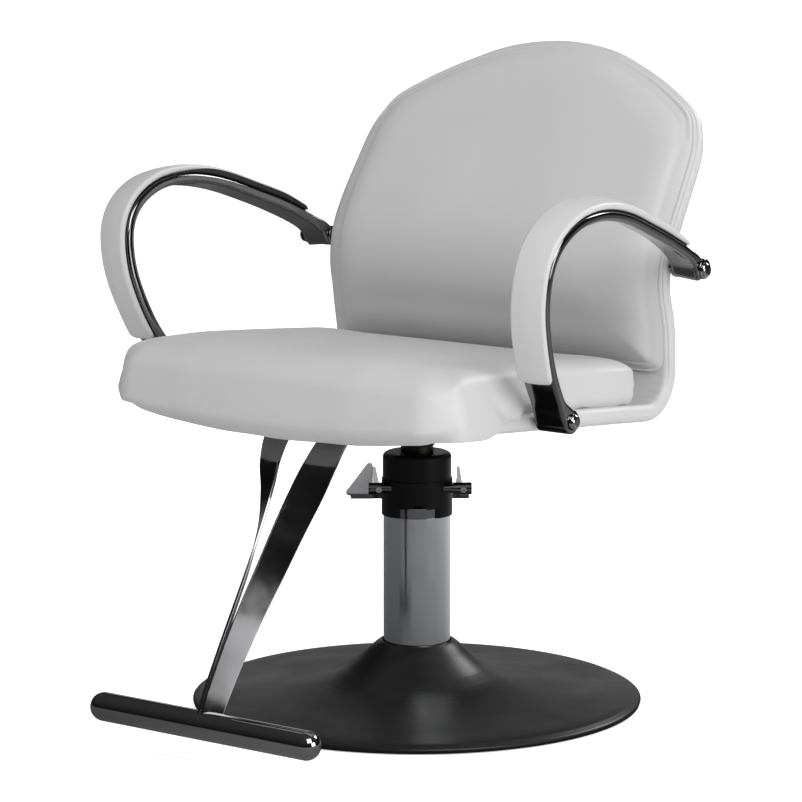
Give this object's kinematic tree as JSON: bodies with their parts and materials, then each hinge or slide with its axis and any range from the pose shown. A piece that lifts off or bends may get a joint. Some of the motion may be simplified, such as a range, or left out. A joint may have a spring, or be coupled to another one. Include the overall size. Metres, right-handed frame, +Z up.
{
  "type": "salon styling chair",
  "caption": "Hydraulic salon styling chair: padded seat and curved back, loop arms, swivelling pump column with foot lever, round base and T-bar footrest.",
  "frame": {"origin": "centre of the column's axis on the floor", "axes": "+Z up, -Y the way the chair faces, +X towards the sitter's left arm"},
  "size_m": [0.738, 0.8358, 0.876],
  "materials": {
    "white_vinyl": "soft white vinyl, low gloss, fine grain",
    "chrome": "polished",
    "black_paint": "satin black powder coat",
    "steel": "zinc plated",
    "bronze": "machined",
    "plywood": "bare moulded plywood",
    "rubber": "matte",
    "dust_cloth": "black lining cloth"
  },
  "bodies": {
    "base": {"base_plate": "steel", "edge_trim": "rubber", "base_cover": "black_paint", "hub_gasket": "rubber", "pump_flange": "steel", "flange_bolts": "steel", "pump_sleeve": "chrome", "pump_cylinder": "steel", "plunger_barrel": "steel", "collar_ring": "chrome", "pump_head": "black_paint", "pump_cap": "black_paint", "cap_screws": "steel", "guide_bush": "bronze", "ram_wiper": "rubber", "plunger_spring": "steel"},
    "lever": {"cross_shaft": "chrome", "lever_fork": "chrome", "foot_pedal": "chrome", "set_screws": "chrome", "shaft_finger": "steel"},
    "plunger": {"plunger": "steel"},
    "ram": {"ram_rod": "chrome", "ram_piston": "steel", "piston_seal": "rubber", "thrust_washer": "bronze"},
    "seat": {"swivel_boss": "black_paint", "mount_plate": "black_paint", "mount_bolts": "steel", "shell_frame": "plywood", "shell_cover": "white_vinyl", "underside_panel": "dust_cloth", "seat_board": "plywood", "seat_cushion": "white_vinyl", "back_board": "plywood", "back_cushion": "white_vinyl", "arm_left": "chrome", "arm_right": "chrome", "arm_pad_base_left": "black_paint", "arm_pad_base_right": "black_paint", "arm_pad_left": "white_vinyl", "arm_pad_right": "white_vinyl", "pad_screws_left": "steel", "pad_screws_right": "steel", "arm_bolts_left": "chrome", "arm_bolts_right": "chrome", "arm_spacers_left": "chrome", "arm_spacers_right": "chrome", "arm_inserts_left": "steel", "arm_inserts_right": "steel", "footrest_leg_left": "chrome", "footrest_leg_right": "chrome", "footrest_bar": "chrome", "footrest_caps": "chrome", "leg_screws": "steel"}
  },
  "joints": [
    {"name": "lever_press", "type": "hinge", "parent": "base", "child": "lever", "pos_m": [0.01662, -0.02128, 0.297], "axis": [-0.788, -0.6157, 0], "range_deg": [0, 28], "stiffness_Nm_per_rad": 4, "springref_deg": -22.92},
    {"name": "plunger_stroke", "type": "slide", "parent": "base", "child": "plunger", "axis": [0, 0, -1], "range_m": [0, 0.0155], "deforming": ["plunger_spring"]},
    {"name": "ram_lift", "type": "slide", "parent": "base", "child": "ram", "axis": [0, 0, 1], "range_m": [0, 0.16]},
    {"name": "seat_swivel", "type": "hinge", "parent": "ram", "child": "seat", "pos_m": [0, 0, 0.36], "axis": [0, 0, 1], "continuous": true}
  ],
  "couplings": [
    {"joint": "plunger_stroke", "follows": "lever_press", "m_per_rad": 0.0296}
  ]
}
